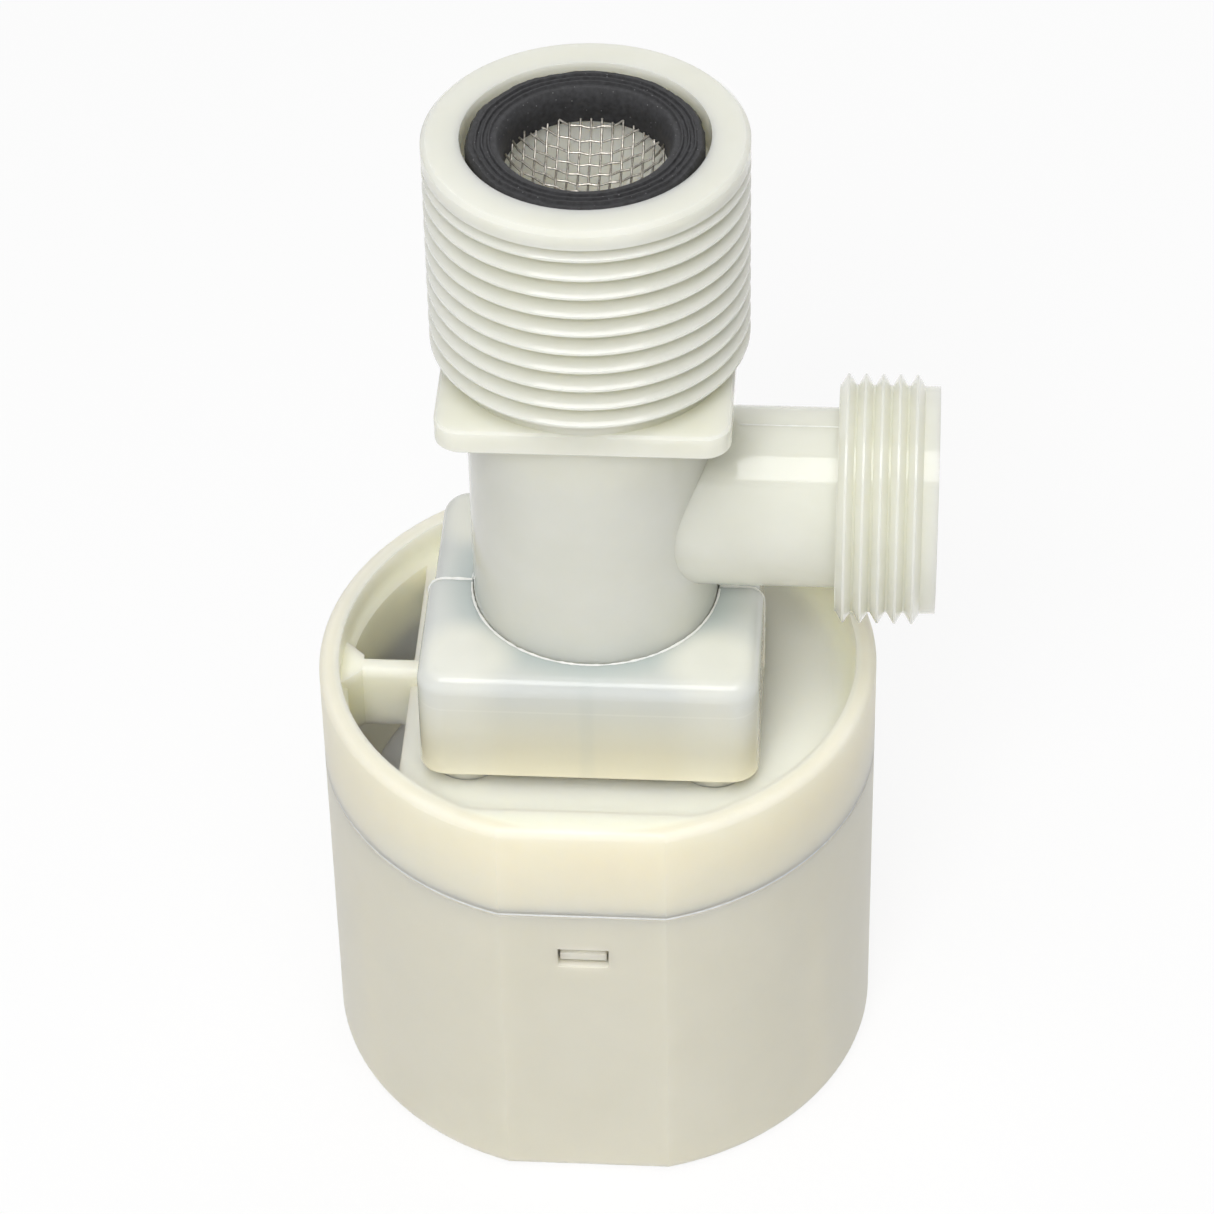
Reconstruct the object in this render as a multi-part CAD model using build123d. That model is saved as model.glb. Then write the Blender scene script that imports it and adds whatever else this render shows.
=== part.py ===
"""Float valve for a water tank: a pilot-operated valve with a float bucket under it.

Millimetres, +Z up. The origin is the centre of the bucket's flat bottom, on the
axis of the inlet. +X points towards the outlet and -Y towards the front latch.
"""
import os
from math import cos, sin, sqrt

from build123d import *

os.makedirs("parts", exist_ok=True)

# Clearances
run_gap = 0.06          # radial, pin or piston in its bore
touch_gap = 0.15        # between fixed pieces that slip together
free_gap = 0.35         # between soft or curved moving faces

# Heights of the fixed assembly
cup_top_z = 39.5
ring_top_z = 51.65
deck_top_z = 46.8
flange_bottom_z = 57.2
flange_top_z = 60.4
plate_bottom_z = 91.4
plate_top_z = 94.2
body_top_z = 120.65
outlet_z = 74.4

# Threads: G1 at the inlet and G3/4 at the outlet
inlet_crest_r = 16.62
inlet_depth = 1.479
inlet_pitch = 2.309
inlet_turns = 10
inlet_band = 1.1        # plain neck of the thread beside the plate
outlet_crest_r = 13.22
outlet_depth = 1.162
outlet_pitch = 1.814
outlet_turns = 5

# Valve body
plate_side = 30.4
plate_corner = 2.8
neck_r = 13.2
neck_wall = 1.8
tube_bore_r = 6.4
tube_wall = 1.2
passage_top_z = 84.5
bore_r = 9.2
bore_bottom_z = 96.0
funnel_bottom_z = 88.0
recess_r = 12.7
pipe_r = 9.57
pipe_bore_r = 7.4
outlet_start_x = 25.9
outlet_end_x = 36.5
outlet_bore_r = 9.2
flange_half_x = 16.3
flange_corner = 2.0

# Gasket and strainer
gasket_r = 12.08
gasket_hole_r = 8.35
gasket_thick = 3.8
gasket_drop = 0.45      # gasket top below the body's top
gasket_ridges = 4
ridge_height = 0.22
strainer_thick = 0.4
strainer_grip = 0.8     # rim of the mesh held in the gasket
strainer_sag = 2.8

# Screw posts
post_x = 13.3
post_y = 11.8
post_shift_y = -0.5
post_r = 3.2
foot_r = 3.8
foot_height = 1.4
screw_r = 1.45
screw_head_r = 2.9
screw_head_thick = 1.9
screw_length = 12.0
drive_r = 1.0

# Cover halves
cover_half_x = 18.2
cover_half_y = 16.5
cover_top_z = 61.5
cover_bottom_z = 48.5
cover_wall = 0.85
cover_edge = 3.0
cover_step = 0.5        # how much narrower the back half is on each side
cover_low = 0.2         # how much lower the back half is

# Diaphragm, main disc and pilot cap
cap_r = 13.5
cap_wall = 2.0
cap_floor_top_z = 50.0
cap_floor = 1.5
diaphragm_thick = 0.8
diaphragm_roll = 1.4
disc_r = 8.4
disc_thick = 1.6
disc_stem_r = 1.5
disc_hub_r = 3.2
disc_hub = 1.4
retainer_r = 4.0
retainer_thick = 1.0
bleed_x = -5.0
bleed_hole_r = 0.7
bleed_pin_r = 0.35
spring_r = 6.9
spring_wire_r = 0.25
spring_turns = 3

# Pilot nozzle and lever
nozzle_r = 2.2
nozzle_tip_r = 1.3
nozzle_bore_r = 0.5
nozzle_tip_z = 42.2
pivot_x = 7.0
pivot_z = 37.2
link_x = -15.0
float_travel = 5.0
lever_half = 1.2
lever_slot_wall = 1.0
lever_slot_rise = 0.7   # extra height of the lever round its slot
lever_width = 4.0
lug_thick = 1.6
lug_r = 2.5
pin_r = 1.0
plug_r = 1.85
plug_dome = 1.5
plug_head = 1.9
plug_stem_r = 0.9
plug_socket = 0.6      # depth of the socket below the lever's middle

# Bucket ring
cup_r = 30.5
cup_flat_y = 29.15
cup_wall = 1.6
cup_floor = 1.8
cup_edge = 1.4
ring_bore_r = 28.3
ring_flat_y = 25.5
ring_edge = 0.9
seam_edge = 0.25
deck_thick = 1.8
deck_fillet = 2.6
deck_left_x = -20.6
deck_shoulder = 0.9     # width of the deck's edge under the pilot cap
spigot_depth = 3.9
spigot_wall = 1.2
rib_width = 2.6
rib_bottom_z = 41.0
rib_top_z = 48.9
rib_inner_x = -18.6
rib_gusset = 2.2        # flare of the rib where it meets the wall

# Latches between ring and cup
latch_half_x = 2.75
window_bottom_z = 32.0
window_top_z = 34.6
hook_top_z = 33.75
tab_half_x = 2.5
tab_thick = 1.4
hook_recess = 0.25      # hook tip inside the cup's outer face

# Float
float_bottom_z = 9.0
float_top_z = 29.3
float_wall = 1.2
float_edge = 1.5
float_guide_gap = 0.45
float_flat_gap = 0.6
lid_thick = 1.4
guide_angles = (35, 145, 215, 325)
guide_width = 2.4
guide_top_z = 31.0
seat_inner_r = 21.5
stem_width = 6.8
stem_length = 4.4
stem_foot_r = 4.6
stem_foot = 1.2

# Drain float in the cup's floor
drain_x = 12.0
drain_recess_r = 6.5
drain_recess_z = 4.2
drain_roof = 1.2
drain_hole_r = 2.6
drain_disc_r = 5.9
drain_disc_bottom_z = 0.4
drain_disc = 1.6
drain_blade = 0.8
washer_thick = 0.7
clip_r = 3.7
clip_thick = 0.9

# Places that follow from the values above
posts = [(sx * post_x, post_shift_y + sy * post_y) for sx in (-1, 1) for sy in (-1, 1)]
cup_bore_r = cup_r - cup_wall
cup_bore_flat = cup_flat_y - cup_wall
spigot_r = cup_bore_r - touch_gap
spigot_flat = cup_bore_flat - touch_gap
spigot_bottom_z = cup_top_z - spigot_depth
spigot_bore_r = min(ring_bore_r, spigot_r - spigot_wall)
float_r = spigot_bore_r - free_gap - 0.7
float_flat_y = ring_flat_y - float_flat_gap
cap_top_z = flange_bottom_z - diaphragm_thick
cap_bore_r = cap_r - cap_wall
disc_bottom_z = cap_top_z - disc_thick
cap_floor_z = cap_floor_top_z - cap_floor
lever_reach = pivot_x - link_x
close_angle = float_travel / lever_reach
ring_drop = deck_top_z - deck_thick
deck_hole_r = cap_r - deck_shoulder


def tube_z(radius, low, high):
    """Upright cylinder between two heights."""
    return Pos(0, 0, low) * Cylinder(radius, high - low, align=(Align.CENTER, Align.CENTER, Align.MIN))


def tube_x(radius, low, high, height):
    """Cylinder along X between two places, on the axis at a height."""
    solid = Cylinder(radius, high - low, align=(Align.CENTER, Align.CENTER, Align.MIN))
    return Pos(low, 0, height) * Rot(0, 90, 0) * solid


def tube_y(radius, low, high, x, z):
    """Cylinder along Y between two places."""
    solid = Cylinder(radius, high - low, align=(Align.CENTER, Align.CENTER, Align.MIN))
    return Pos(x, low, z) * Rot(-90, 0, 0) * solid


def block(x, y, z):
    """Box from three (low, high) pairs."""
    solid = Box(x[1] - x[0], y[1] - y[0], z[1] - z[0], align=(Align.MIN, Align.MIN, Align.MIN))
    return Pos(x[0], y[0], z[0]) * solid


def turned(points):
    """Solid of revolution about Z from (radius, height) points."""
    return revolve(make_face(Plane.XZ * Polyline(*points, close=True)), Axis.Z)


def flatted(radius, flat_y, low, high):
    """Cylinder with two flats across Y."""
    wide = radius + 1
    return tube_z(radius, low, high) & block((-wide, wide), (-flat_y, flat_y), (low, high))


def thread_tube(crest_r, depth, pitch, turns, plain, lead):
    """Threaded sleeve along Z: a plain neck, ring-shaped threads and a chamfered lead."""
    root_r = crest_r - depth
    points = [(0, 0), (root_r, 0)]
    for turn in range(turns):
        base = plain + turn * pitch
        points.append((root_r, base + 0.06 * pitch))
        points.append((crest_r, base + 0.44 * pitch))
        points.append((crest_r, base + 0.56 * pitch))
        points.append((root_r, base + 0.94 * pitch))
    top = plain + turns * pitch
    points.append((root_r, top + lead))
    points.append((0, top + lead))
    return turned(points)


def make_valve_body():
    """Inlet, mounting plate, neck, outlet pipe, seat tube, flange and screw posts in one moulding."""
    inlet_length = body_top_z - plate_top_z
    lead = inlet_length - inlet_band - inlet_turns * inlet_pitch
    body = Pos(0, 0, plate_top_z) * thread_tube(
        inlet_crest_r, inlet_depth, inlet_pitch, inlet_turns, inlet_band, lead
    )
    band = tube_z(inlet_crest_r, body_top_z - 2.1, body_top_z)
    body += chamfer(band.edges().group_by(Axis.Z)[-1], 0.5)
    half = plate_side / 2
    plate = block((-half, half), (-half, half), (plate_bottom_z, plate_top_z))
    plate = fillet(plate.edges().filter_by(Axis.Z), plate_corner)
    body += chamfer(plate.edges().group_by(Axis.Z)[-1] + plate.edges().group_by(Axis.Z)[0], 0.25)
    body += tube_z(neck_r, flange_bottom_z, plate_bottom_z)
    body += tube_x(pipe_r, 0, outlet_start_x + 1, outlet_z)
    outlet_length = outlet_end_x - outlet_start_x
    outlet_lead = outlet_length - outlet_turns * outlet_pitch
    outlet = thread_tube(outlet_crest_r, outlet_depth, outlet_pitch, outlet_turns, 0, outlet_lead)
    body += Pos(outlet_start_x, 0, outlet_z) * Rot(0, 90, 0) * outlet
    flange_half_y = post_y + post_r
    flange = block(
        (-flange_half_x, flange_half_x),
        (post_shift_y - flange_half_y, post_shift_y + flange_half_y),
        (flange_bottom_z, flange_top_z),
    )
    body += fillet(flange.edges().filter_by(Axis.Z), flange_corner)
    for x, y in posts:
        body += Pos(x, y, 0) * tube_z(post_r, deck_top_z, flange_bottom_z)
        body += Pos(x, y, 0) * tube_z(foot_r, deck_top_z, deck_top_z + foot_height)
    # annular outlet passage around the seat tube
    tube_r = tube_bore_r + tube_wall
    passage = tube_z(neck_r - neck_wall, flange_bottom_z, passage_top_z)
    passage -= tube_z(tube_r, flange_bottom_z, passage_top_z)
    body -= passage
    body -= tube_x(pipe_bore_r, tube_r + 0.4, outlet_end_x, outlet_z) - tube_z(tube_r, 60, 90)
    body -= tube_x(outlet_bore_r, outlet_start_x + 2.5, outlet_end_x, outlet_z)
    # inlet bore: gasket recess, strainer bore, funnel and seat tube
    gasket_seat_z = body_top_z - gasket_drop - gasket_thick
    body -= turned([
        (0, flange_bottom_z), (tube_bore_r, flange_bottom_z), (tube_bore_r, funnel_bottom_z),
        (bore_r, bore_bottom_z), (bore_r, gasket_seat_z), (recess_r, gasket_seat_z),
        (recess_r, body_top_z), (0, body_top_z),
    ])
    for x, y in posts:
        body -= Pos(x, y, 0) * tube_z(screw_r, deck_top_z, ring_drop + screw_length + 1)
    return body


def make_gasket():
    """Rubber washer with round ridges on its face and a groove that holds the strainer."""
    top = body_top_z - gasket_drop - ridge_height
    bottom = body_top_z - gasket_drop - gasket_thick
    ring = tube_z(gasket_r, bottom, top) - tube_z(gasket_hole_r, bottom, top)
    step = (gasket_r - gasket_hole_r) / gasket_ridges
    for ridge in range(gasket_ridges):
        middle = gasket_hole_r + (ridge + 0.5) * step
        ring += turned([
            (middle - 0.32 * step, top - 0.1), (middle + 0.32 * step, top - 0.1),
            (middle + 0.32 * step, top), (middle, top + ridge_height), (middle - 0.32 * step, top),
        ])
    groove_r = gasket_hole_r + strainer_grip
    groove = tube_z(groove_r, bottom + 1.5, bottom + 1.5 + strainer_thick)
    return ring - groove


def make_strainer():
    """Woven wire bowl as one thin shell, hanging from its flat rim in the gasket."""
    rim_z = body_top_z - gasket_drop - gasket_thick + 1.5
    bowl_r = gasket_hole_r - 0.35
    sphere_r = (bowl_r ** 2 + strainer_sag ** 2) / (2 * strainer_sag)
    centre_z = rim_z - strainer_sag + sphere_r
    outside = Pos(0, 0, centre_z) * Sphere(sphere_r + strainer_thick)
    inside = Pos(0, 0, centre_z) * Sphere(sphere_r)
    reach = gasket_hole_r - touch_gap / 3
    bowl = (outside - inside) & tube_z(reach, rim_z - 2 * strainer_sag, rim_z + strainer_thick)
    rim = tube_z(gasket_hole_r + strainer_grip, rim_z, rim_z + strainer_thick)
    return bowl + (rim - tube_z(bowl_r, rim_z, rim_z + strainer_thick))


def make_cover(side):
    """One half of the shroud round the flange and posts. side is -1 for front, 1 for back."""
    narrow = 0 if side < 0 else cover_step
    half_x = cover_half_x - narrow
    top_z = cover_top_z - (0 if side < 0 else cover_low)
    low_y = post_shift_y - cover_half_y
    high_y = post_shift_y + cover_half_y
    shell = block((-half_x, half_x), (low_y, high_y), (cover_bottom_z, top_z))
    shell = fillet(shell.edges().filter_by(Axis.Z), cover_edge)
    shell = fillet(shell.edges().group_by(Axis.Z)[-1], cover_edge * 0.6)
    inner = block(
        (-half_x + cover_wall, half_x - cover_wall),
        (low_y + cover_wall, high_y - cover_wall),
        (cover_bottom_z, top_z - cover_wall),
    )
    shell -= fillet(inner.edges().filter_by(Axis.Z), cover_edge - cover_wall)
    shell -= tube_z(neck_r + touch_gap, cover_bottom_z, cover_top_z)
    wide = cover_half_x + 1
    keep = (-wide * 2, -touch_gap / 2) if side < 0 else (touch_gap / 2, wide * 2)
    return shell & block((-wide, wide), keep, (cover_bottom_z, cover_top_z))


def make_diaphragm():
    """Rubber diaphragm with one rolled convolution between the clamped rim and the disc."""
    top = flange_bottom_z
    bottom = top - diaphragm_thick
    roll_in = disc_r + 0.25
    roll_out = cap_bore_r - 0.25
    roll_mid = (roll_in + roll_out) / 2
    sheet = turned([
        (disc_stem_r, bottom), (roll_in, bottom), (roll_mid, bottom - diaphragm_roll + 0.6),
        (roll_out, bottom), (cap_r, bottom), (cap_r, top), (roll_out + 0.3, top),
        (roll_mid, top - diaphragm_roll + 0.4), (roll_in - 0.3, top), (disc_stem_r, top),
    ])
    return sheet - Pos(bleed_x, 0, 0) * tube_z(bleed_hole_r, bottom - 1, top + 1)


def make_main_disc():
    """Stiff disc under the diaphragm with a stem up through it and a spring hub below."""
    disc = tube_z(disc_r, disc_bottom_z, cap_top_z)
    disc += tube_z(disc_stem_r, cap_top_z, flange_bottom_z + retainer_thick + 0.4)
    disc += tube_z(disc_hub_r, disc_bottom_z - disc_hub, disc_bottom_z)
    disc = chamfer(disc.edges().group_by(Axis.Z)[-1], 0.3)
    return disc - Pos(bleed_x, 0, 0) * tube_z(bleed_hole_r, disc_bottom_z, cap_top_z)


def make_disc_retainer():
    """Washer snapped on the disc's stem above the diaphragm."""
    ring = tube_z(retainer_r, flange_bottom_z, flange_bottom_z + retainer_thick)
    ring = chamfer(ring.edges().group_by(Axis.Z)[-1], 0.3)
    return ring - tube_z(disc_stem_r, flange_bottom_z, flange_bottom_z + retainer_thick)


def make_spring():
    """Closing spring between the cap's floor and the disc, as closed rings of wire."""
    low = cap_floor_top_z + spring_wire_r
    high = disc_bottom_z - spring_wire_r
    coil = Helix(pitch=(high - low) / spring_turns, height=high - low, radius=spring_r)
    start = Plane(origin=coil @ 0, z_dir=coil % 0)
    wire = sweep(start * Circle(spring_wire_r), path=coil, is_frenet=True)
    return Pos(0, 0, low) * wire


def make_pilot_cap():
    """Pressure chamber under the diaphragm, with the two lugs that carry the lever."""
    cap = tube_z(cap_r, deck_top_z, cap_top_z)
    cap -= tube_z(cap_bore_r, cap_floor_top_z, cap_top_z)
    cap -= tube_z(cap_bore_r, deck_top_z, cap_floor_z)
    inner = lever_width / 2 + touch_gap
    for side in (-1, 1):
        faces = sorted((side * inner, side * (inner + lug_thick)))
        cap += block((pivot_x - lug_r, pivot_x + lug_r), faces, (pivot_z, cap_floor_z))
        cap += tube_y(lug_r, faces[0], faces[1], pivot_x, pivot_z)
    cap -= tube_y(pin_r, -lever_width * 2, lever_width * 2, pivot_x, pivot_z)
    cap -= tube_z(nozzle_r, cap_floor_z, cap_floor_top_z)
    return cap - Pos(bleed_x, 0, 0) * tube_z(bleed_pin_r, cap_floor_z + 0.4, cap_floor_top_z)


def make_nozzle():
    """Pilot nozzle pressed through the cap's floor, with its tip pointing down."""
    nozzle = turned([
        (nozzle_bore_r, nozzle_tip_z), (nozzle_tip_r, nozzle_tip_z), (nozzle_r, nozzle_tip_z + 1.6),
        (nozzle_r, cap_floor_top_z), (nozzle_r + 0.9, cap_floor_top_z),
        (nozzle_r + 0.9, cap_floor_top_z + 0.6), (nozzle_bore_r, cap_floor_top_z + 0.6),
    ])
    return nozzle


def make_bleed_pin():
    """Wire that keeps the bleed hole in the disc clean."""
    return Pos(bleed_x, 0, 0) * tube_z(bleed_pin_r, cap_floor_z + 0.4, flange_bottom_z + 1.6)


def make_screws():
    """Four pan-head screws that hold the ring's deck to the posts."""
    group = []
    for x, y in posts:
        screw = tube_z(screw_r, ring_drop, ring_drop + screw_length)
        head = tube_z(screw_head_r, ring_drop - screw_head_thick, ring_drop)
        head = fillet(head.edges().group_by(Axis.Z)[0], 0.7)
        drive = block((-drive_r * 2, drive_r * 2), (-0.35, 0.35), (0, 1)) + block(
            (-0.35, 0.35), (-drive_r * 2, drive_r * 2), (0, 1)
        )
        head -= Pos(0, 0, ring_drop - screw_head_thick) * drive
        group.append(Pos(x, y, 0) * (head + screw))
    return Compound(children=group)


def make_ring():
    """Upper ring of the bucket: rim, deck, spigot, latch tabs and one stiffening rib."""
    ring = flatted(cup_r, cup_flat_y, cup_top_z, ring_top_z)
    ring = fillet(ring.edges().group_by(Axis.Z)[-1], ring_edge)
    ring = chamfer(ring.edges().group_by(Axis.Z)[0], seam_edge)
    ring += flatted(spigot_r, spigot_flat, spigot_bottom_z, cup_top_z + 0.5)
    # well above the deck, with a soft fillet round its floor
    well = flatted(ring_bore_r, ring_flat_y, deck_top_z, ring_top_z)
    well = fillet(well.edges().group_by(Axis.Z)[0], deck_fillet)
    ring -= well
    ring -= flatted(spigot_bore_r, ring_flat_y, spigot_bottom_z, ring_drop)
    ring -= tube_z(deck_hole_r, ring_drop, deck_top_z)
    # open segment on the left, down through the deck
    left = flatted(spigot_bore_r, ring_flat_y, spigot_bottom_z, ring_top_z)
    ring -= left & block((-cup_r, deck_left_x), (-cup_r, cup_r), (spigot_bottom_z, ring_top_z))
    rib = block(
        (-spigot_bore_r - 0.3, rib_inner_x), (-rib_width / 2, rib_width / 2), (rib_bottom_z, rib_top_z)
    )
    rib = fillet(rib.edges().group_by(Axis.Z)[-1].filter_by(Axis.X), rib_width * 0.4)
    ring += rib
    half = rib_width / 2
    root_x = -ring_bore_r + 0.2
    flare = Polyline(
        (root_x, -half - rib_gusset), (root_x + rib_gusset, -half), (root_x + rib_gusset, half),
        (root_x, half + rib_gusset), (root_x - 0.6, half + rib_gusset),
        (root_x - 0.6, -half - rib_gusset), close=True,
    )
    ring += Pos(0, 0, rib_bottom_z) * extrude(make_face(flare), rib_top_z - rib_bottom_z)
    for side in (-1, 1):
        outer = side * spigot_flat
        tab_y = sorted((outer, outer - side * tab_thick))
        ring += block((-tab_half_x, tab_half_x), tab_y, (window_bottom_z, cup_top_z))
        hook_y = sorted((outer - side * 0.2, side * (cup_flat_y - hook_recess)))
        hook = block((-tab_half_x, tab_half_x), hook_y, (window_bottom_z + 0.1, hook_top_z))
        low_edge = hook.edges().filter_by(Axis.X).group_by(Axis.Z)[0].sort_by(Axis.Y)
        ring += chamfer(low_edge[0 if side < 0 else -1], 0.8)
    for x, y in posts:
        ring -= Pos(x, y, 0) * tube_z(screw_r + touch_gap, ring_drop, deck_top_z)
    return ring


def make_cup():
    """Bucket: wall with two latch windows, floor with the drain recess and four float guides."""
    cup = flatted(cup_r, cup_flat_y, 0, cup_top_z)
    cup = fillet(cup.edges().group_by(Axis.Z)[0], cup_edge)
    cup = chamfer(cup.edges().group_by(Axis.Z)[-1], seam_edge)
    cup -= flatted(cup_bore_r, cup_bore_flat, cup_floor, cup_top_z)
    guide_r = float_r + float_guide_gap
    for angle in guide_angles:
        width = (-guide_width / 2, guide_width / 2)
        guide = block((guide_r, cup_bore_r + 0.3), width, (cup_floor, guide_top_z))
        seat = block((seat_inner_r, guide_r), width, (cup_floor, float_bottom_z - 0.3))
        cup += Rot(0, 0, angle) * (guide + seat)
    roof_z = drain_recess_z + drain_roof
    drain = tube_z(drain_recess_r + cup_wall, cup_floor - 0.5, roof_z)
    drain -= tube_z(drain_hole_r, drain_recess_z, roof_z)
    cup += Pos(drain_x, 0, 0) * drain
    cup -= Pos(drain_x, 0, 0) * tube_z(drain_recess_r, 0, drain_recess_z)
    cup -= Pos(drain_x, 0, 0) * tube_z(drain_hole_r, drain_recess_z, roof_z)
    window = block((-latch_half_x, latch_half_x), (-cup_r, cup_r), (window_bottom_z, window_top_z))
    return cup - window


def make_float_shell():
    """Float body, open at the top until its lid goes on."""
    shell = flatted(float_r, float_flat_y, float_bottom_z, float_top_z - lid_thick)
    shell = fillet(shell.edges().group_by(Axis.Z)[0], float_edge)
    return shell - flatted(
        float_r - float_wall, float_flat_y - float_wall, float_bottom_z + float_wall, float_top_z - lid_thick
    )


def make_float_lid():
    """Welded lid of the float with a spigot inside its wall and a socket for the stem."""
    lid = flatted(float_r, float_flat_y, float_top_z - lid_thick, float_top_z)
    lid = chamfer(lid.edges().group_by(Axis.Z)[-1], 0.4)
    inside_r = float_r - float_wall - touch_gap
    inside_y = float_flat_y - float_wall - touch_gap
    low = float_top_z - lid_thick - 1.5
    spigot = flatted(inside_r, inside_y, low, float_top_z - lid_thick)
    spigot -= flatted(inside_r - 1, inside_y - 1, low, float_top_z - lid_thick)
    return lid + spigot


def make_float_stem():
    """Clevis on the float's lid that carries the link pin."""
    top_z = pivot_z + pin_r + 0.6
    foot_x = link_x
    stem = Pos(foot_x, 0, 0) * tube_z(stem_foot_r, float_top_z, float_top_z + stem_foot)
    half_y = lever_width / 2 + free_gap
    outer_y = stem_width / 2 + free_gap
    body = block(
        (foot_x - stem_length / 2, foot_x + stem_length / 2), (-outer_y, outer_y), (float_top_z, top_z)
    )
    body = fillet(body.edges().group_by(Axis.Z)[-1].filter_by(Axis.Y), 1.2)
    stem += body
    slot_low = pivot_z - lever_half - 1.6
    stem -= block((foot_x - 5, foot_x + 5), (-half_y, half_y), (slot_low, top_z))
    return stem - tube_y(pin_r, -outer_y, outer_y, foot_x, pivot_z)


def make_link_pin():
    """Steel pin through the clevis and the lever's slot."""
    outer_y = stem_width / 2 + free_gap
    return tube_y(pin_r, -outer_y, outer_y, link_x, pivot_z)


def make_lever_pin():
    """Steel pin through the cap's lugs."""
    outer_y = lever_width / 2 + touch_gap + lug_thick
    return tube_y(pin_r, -outer_y, outer_y, pivot_x, pivot_z)


def plug_place():
    """Plug's place on the lever at rest: it meets the nozzle when the lever has closed."""
    height = nozzle_tip_z - touch_gap - pivot_z
    reach = pivot_x
    along = -reach * cos(close_angle) - height * sin(close_angle)
    above = -reach * sin(close_angle) + height * cos(close_angle)
    return pivot_x + along, pivot_z + above


def make_lever():
    """Pilot lever with a round boss at the pivot, a long slot at the float and a plug socket."""
    width = (-lever_width / 2, lever_width / 2)
    bar = block((link_x, pivot_x), width, (pivot_z - lever_half, pivot_z + lever_half))
    bar += tube_y(lever_half + 0.9, width[0], width[1], pivot_x, pivot_z)
    bar -= tube_y(pin_r + run_gap, width[0], width[1], pivot_x, pivot_z)
    slot_r = pin_r + touch_gap
    reach = sqrt(lever_reach ** 2 + float_travel ** 2) - lever_reach + 0.3
    slot = block((link_x - reach, link_x), width, (pivot_z - slot_r, pivot_z + slot_r))
    slot += tube_y(slot_r, width[0], width[1], link_x, pivot_z)
    slot += tube_y(slot_r, width[0], width[1], link_x - reach, pivot_z)
    ends = (link_x - reach - slot_r - lever_slot_wall, link_x + slot_r + lever_slot_wall)
    half = lever_half + lever_slot_rise
    bar += block(ends, width, (pivot_z - half, pivot_z + half))
    bar -= slot
    plug_x, plug_z = plug_place()
    boss_top = plug_z - plug_head
    bar += Pos(plug_x, 0, 0) * tube_z(lever_width / 2, pivot_z, boss_top)
    return bar - Pos(plug_x, 0, 0) * tube_z(plug_stem_r, pivot_z - plug_socket, boss_top)


def make_plug():
    """Rubber plug with a domed face, its stem pushed into the lever."""
    plug_x, plug_z = plug_place()
    boss_top = plug_z - plug_head
    head = tube_z(plug_r, boss_top, plug_z)
    head = fillet(head.edges().group_by(Axis.Z)[-1], plug_dome)
    return Pos(plug_x, 0, 0) * (head + tube_z(plug_stem_r, pivot_z - plug_socket, boss_top))


def make_drain_float():
    """Small float under the cup's floor with a cross-shaped stem up through the hole."""
    top = drain_disc_bottom_z + drain_disc
    disc = tube_z(drain_disc_r, drain_disc_bottom_z, top)
    disc = fillet(disc.edges().group_by(Axis.Z)[0], 0.4)
    stem_top = drain_recess_z + drain_roof + clip_thick + 0.3
    reach = drain_hole_r - run_gap * 2
    blade = drain_blade / 2
    cross = block((-reach, reach), (-blade, blade), (top - 0.2, stem_top))
    cross += block((-blade, blade), (-reach, reach), (top - 0.2, stem_top))
    cross &= tube_z(reach, top - 0.2, stem_top)
    return Pos(drain_x, 0, 0) * (disc + cross)


def make_drain_washer():
    """Rubber washer on the drain float that seals round the hole."""
    top = drain_disc_bottom_z + drain_disc
    ring = tube_z(drain_disc_r - 0.4, top, top + washer_thick) - tube_z(drain_hole_r, top, top + washer_thick)
    return Pos(drain_x, 0, 0) * ring


def make_drain_clip():
    """Clip on the drain float's stem that rests on the roof of the recess."""
    low = drain_recess_z + drain_roof
    ring = tube_z(clip_r, low, low + clip_thick)
    cross = make_drain_float()
    return Pos(drain_x, 0, 0) * ring - cross


nodes = {
    "valve_body": make_valve_body,
    "inlet_gasket": make_gasket,
    "inlet_strainer": make_strainer,
    "cover_front": lambda: make_cover(-1),
    "cover_back": lambda: make_cover(1),
    "diaphragm": make_diaphragm,
    "main_disc": make_main_disc,
    "disc_retainer": make_disc_retainer,
    "closing_spring": make_spring,
    "pilot_cap": make_pilot_cap,
    "pilot_nozzle": make_nozzle,
    "bleed_pin": make_bleed_pin,
    "deck_screws": make_screws,
    "bucket_ring": make_ring,
    "bucket_cup": make_cup,
    "float_shell": make_float_shell,
    "float_lid": make_float_lid,
    "float_stem": make_float_stem,
    "link_pin": make_link_pin,
    "lever_pin": make_lever_pin,
    "pilot_lever": make_lever,
    "pilot_plug": make_plug,
    "drain_float": make_drain_float,
    "drain_washer": make_drain_washer,
    "drain_clip": make_drain_clip,
}

for name, make in nodes.items():
    export_step(make(), f"parts/{name}.step")
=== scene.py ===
import bpy
import math
from mathutils import Matrix, Vector, noise


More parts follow.
